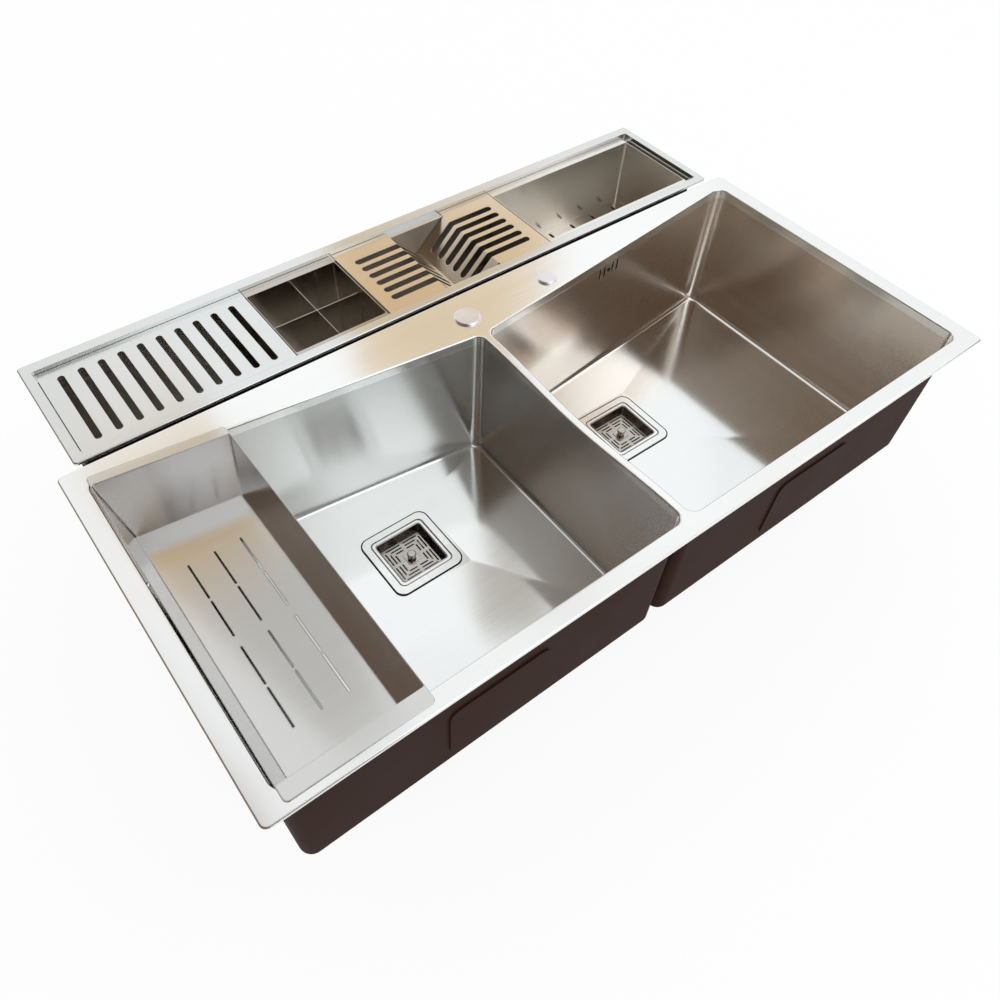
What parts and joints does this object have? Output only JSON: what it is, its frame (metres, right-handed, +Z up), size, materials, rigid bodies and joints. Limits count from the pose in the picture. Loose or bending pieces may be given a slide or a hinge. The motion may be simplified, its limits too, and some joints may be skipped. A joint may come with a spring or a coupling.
{
  "type": "channel sink",
  "caption": "Drop-in steel kitchen sink with two bowls, a lift-out tray and strainers, and a rear channel of lift-out inserts.",
  "frame": {"origin": "centre of the sink's worktop cut-out, on top of the worktop, which is the underside of both flanges", "axes": "+X along the sink, from the tray's end to the overflow's end; +Y from the user to the channel; +Z up"},
  "size_m": [1.143, 0.719, 0.3464],
  "materials": {
    "brushed_stainless": "brushed, grain along the sink",
    "polished_steel": "polished",
    "polished_chrome": "polished, domed",
    "sound_coat": "matt sprayed coat",
    "sound_pad": "matt, coated over",
    "black_rubber": "matt",
    "black_foam": "closed-cell foam",
    "black_plastic": "moulded",
    "white_plastic": "moulded"
  },
  "bodies": {
    "sink": {"channel_rim": "brushed_stainless", "channel_rim_seal": "black_foam", "channel_trough": "brushed_stainless", "channel_undercoat": "sound_coat", "channel_waste": "polished_steel", "channel_waste_gasket": "black_rubber", "channel_waste_nut": "black_plastic", "left_bowl": "brushed_stainless", "left_sound_pads": "sound_pad", "left_tail_nut": "white_plastic", "left_tail_pipe": "white_plastic", "left_undercoat": "sound_coat", "left_waste_flange": "polished_steel", "left_waste_gasket": "black_rubber", "left_waste_nut": "black_plastic", "overflow_box": "black_plastic", "overflow_screw": "polished_steel", "overflow_seal": "black_rubber", "right_bowl": "brushed_stainless", "right_sound_pads": "sound_pad", "right_tail_nut": "white_plastic", "right_tail_pipe": "white_plastic", "right_undercoat": "sound_coat", "right_waste_flange": "polished_steel", "right_waste_gasket": "black_rubber", "right_waste_nut": "black_plastic", "sink_deck": "brushed_stainless", "sink_rim_seal": "black_foam"},
    "tray": {"tray": "brushed_stainless"},
    "left_basket": {"left_basket": "polished_steel", "left_basket_knob": "polished_steel"},
    "right_basket": {"right_basket": "polished_steel", "right_basket_knob": "polished_steel"},
    "tap_cover": {"tap_hole_cover": "polished_chrome", "tap_cover_clip": "white_plastic"},
    "small_cover": {"small_hole_cover": "polished_chrome", "small_cover_clip": "white_plastic"},
    "drainer": {"drainer_plate": "brushed_stainless"},
    "spice_box": {"spice_box": "brushed_stainless"},
    "spice_dividers": {"spice_divider_long": "brushed_stainless", "spice_divider_cross": "brushed_stainless"},
    "plate_rack": {"plate_rack": "brushed_stainless"},
    "caddy": {"caddy": "brushed_stainless"}
  },
  "joints": [
    {"name": "tray_lift", "type": "slide", "parent": "sink", "child": "tray", "axis": [0, 0, 1], "range_m": [0, 0.12]},
    {"name": "left_basket_lift", "type": "slide", "parent": "sink", "child": "left_basket", "axis": [0, 0, 1], "range_m": [0, 0.05]},
    {"name": "right_basket_lift", "type": "slide", "parent": "sink", "child": "right_basket", "axis": [0, 0, 1], "range_m": [0, 0.05]},
    {"name": "tap_cover_lift", "type": "slide", "parent": "sink", "child": "tap_cover", "axis": [0, 0, 1], "range_m": [0, 0.03]},
    {"name": "small_cover_lift", "type": "slide", "parent": "sink", "child": "small_cover", "axis": [0, 0, 1], "range_m": [0, 0.03]},
    {"name": "drainer_lift", "type": "slide", "parent": "sink", "child": "drainer", "axis": [0, 0, 1], "range_m": [0, 0.05]},
    {"name": "spice_box_lift", "type": "slide", "parent": "sink", "child": "spice_box", "axis": [0, 0, 1], "range_m": [0, 0.11]},
    {"name": "spice_dividers_lift", "type": "slide", "parent": "spice_box", "child": "spice_dividers", "axis": [0, 0, 1], "range_m": [0, 0.09]},
    {"name": "plate_rack_lift", "type": "slide", "parent": "sink", "child": "plate_rack", "axis": [0, 0, 1], "range_m": [0, 0.08]},
    {"name": "caddy_lift", "type": "slide", "parent": "sink", "child": "caddy", "axis": [0, 0, 1], "range_m": [0, 0.15]}
  ]
}
